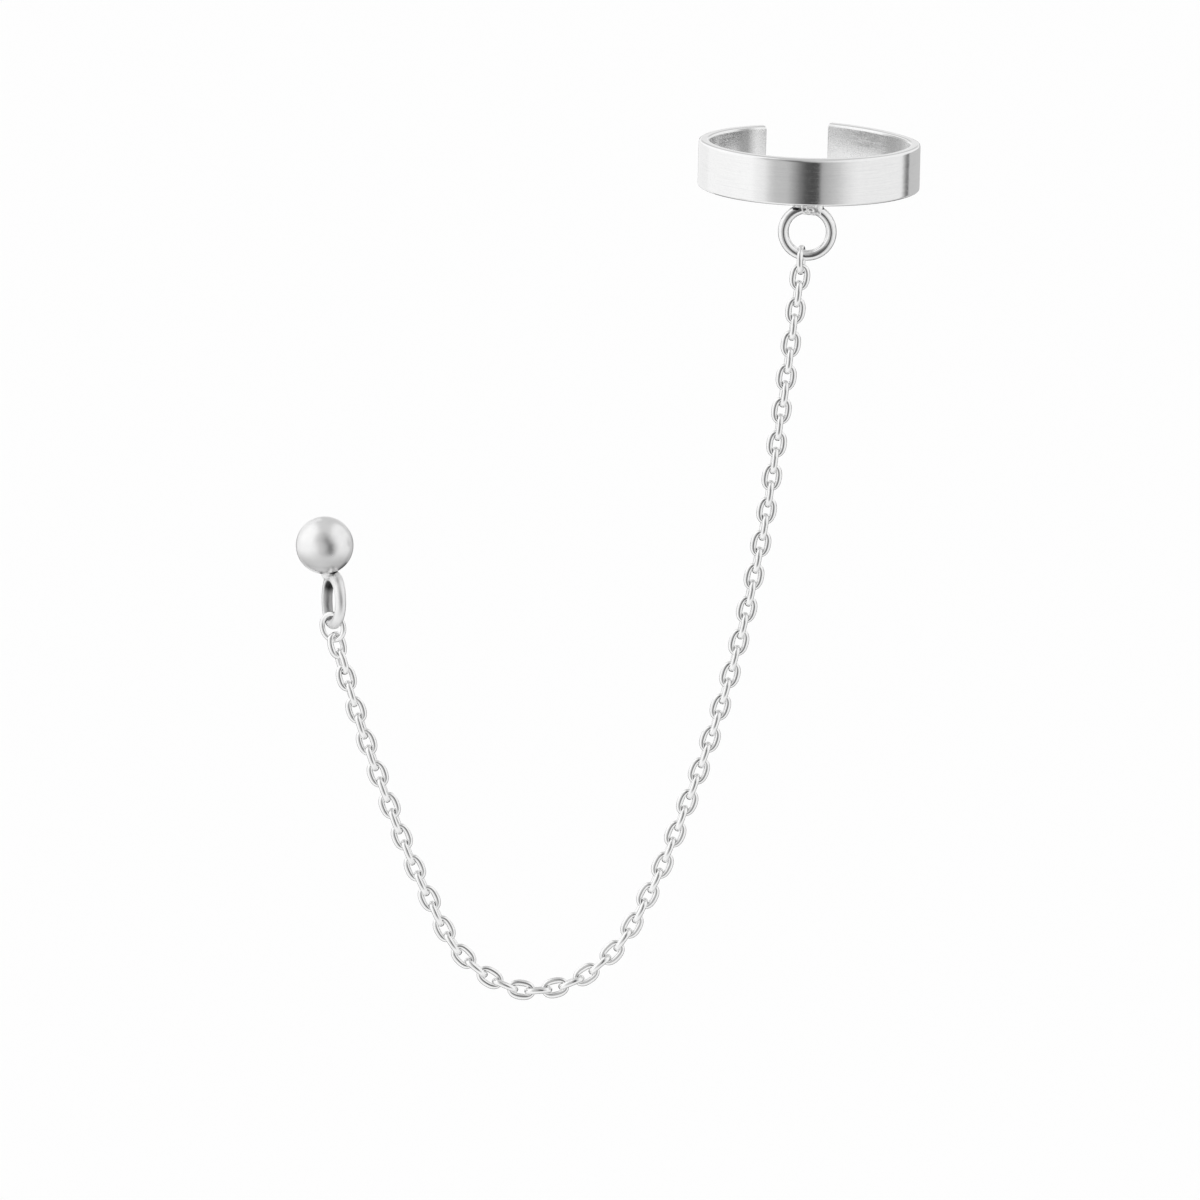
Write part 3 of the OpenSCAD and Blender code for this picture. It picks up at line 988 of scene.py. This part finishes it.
def surrounding_light():
    """The room as the metal sees it, by direction. The camera and the floor see plain white."""
    world = bpy.data.worlds.new("studio")
    world.use_nodes = True
    g = Graph(world.node_tree)
    parts = g.node("ShaderNodeSeparateXYZ")
    g.put(parts.inputs[0], g.node("ShaderNodeTexCoord").outputs["Generated"])
    x, y, z = parts.outputs
    turn = g.turn(x, y, math.degrees(1))
    level = g.ramp(turn, LEVEL_LIGHT, -HALF_TURN, HALF_TURN)
    low = g.ramp(turn, LOW_LIGHT, -HALF_TURN, HALF_TURN)
    # A greyer gap between the lights overhead
    gap = g.times(g.step(g.math("ABSOLUTE", x), 0.5, 0.25), g.step(g.plus(z, g.times(y, 0.4)), 0.48, 0.7))
    high = g.mix(gap, g.ramp(x, HIGH_LIGHT, -1, 1), 0.6)
    light = g.mix(g.step(z, 0.0, 0.14), level, high)
    light = g.mix(g.step(z, -0.38, -0.72), light, low)
    # Straight behind the piece, as the camera looks, the studio is dark and so every outline is
    behind = g.math("SUBTRACT", g.times(y, cos(VIEW_DOWN)), g.times(z, sin(VIEW_DOWN)))
    disc = g.times(g.step(behind, cos(DISC_OUTER), cos(DISC_FULL)), g.step(z, 0.12, -0.18))
    light = g.mix(disc, light, DISC_LIGHT)
    rays = g.node("ShaderNodeLightPath")
    plain = g.math("MAXIMUM", rays.outputs["Is Camera Ray"], rays.outputs["Is Diffuse Ray"])
    shader = g.node("ShaderNodeBackground")
    g.put(shader.inputs["Color"], g.mix(plain, light, 1.03))
    g.end("ShaderNodeOutputWorld", shader)
    return world


def make_studio():
    corners = [(FLOOR_HALF * sx, FLOOR_HALF * sy, FLOOR_Z) for sx, sy in ((-1, -1), (1, -1), (1, 1), (-1, 1))]
    floor = stage_plane("floor", corners, floor_material())
    floor.visible_glossy = False
    card = upright_card("studio_card", CARD_X, CARD_Z, 0, card_material())
    card.location = Vector((0, CARD_Y, 0)) * MM
    strip = upright_card("studio_strip", STRIP_X, STRIP_Z, 0, strip_material())
    strip_x = STRIP_FROM[0] + STRIP_AWAY * sin(STRIP_TURN)
    strip_y = STRIP_FROM[1] - STRIP_AWAY * cos(STRIP_TURN)
    strip.location = Vector((strip_x, strip_y, 0)) * MM
    strip.rotation_euler.z = math.radians(STRIP_TURN)
    left_glow = even_glow("studio_left_glow", 0.92)
    right_glow = even_glow("studio_right_glow", 0.56)
    upright_card("studio_left_card", LEFT_CARD_X, BACK_CARD_Z, BACK_CARD_Y, left_glow)
    upright_card("studio_right_card", RIGHT_CARD_X, BACK_CARD_Z, BACK_CARD_Y, right_glow)
    ball_arc("studio_left_arc", LEFT_ARC, even_glow("studio_left_arc_glow", 0.9))
    ball_arc("studio_right_arc", RIGHT_ARC, even_glow("studio_right_arc_glow", 0.6))
    bpy.context.scene.world = surrounding_light()
    bpy.context.scene.view_settings.view_transform = "Standard"


wire = wire_silver()
make_cuff()
make_upper_jump_ring(wire)
make_chain(wire)
make_lower_jump_ring(wire)
make_stud()
make_camera()
make_studio()
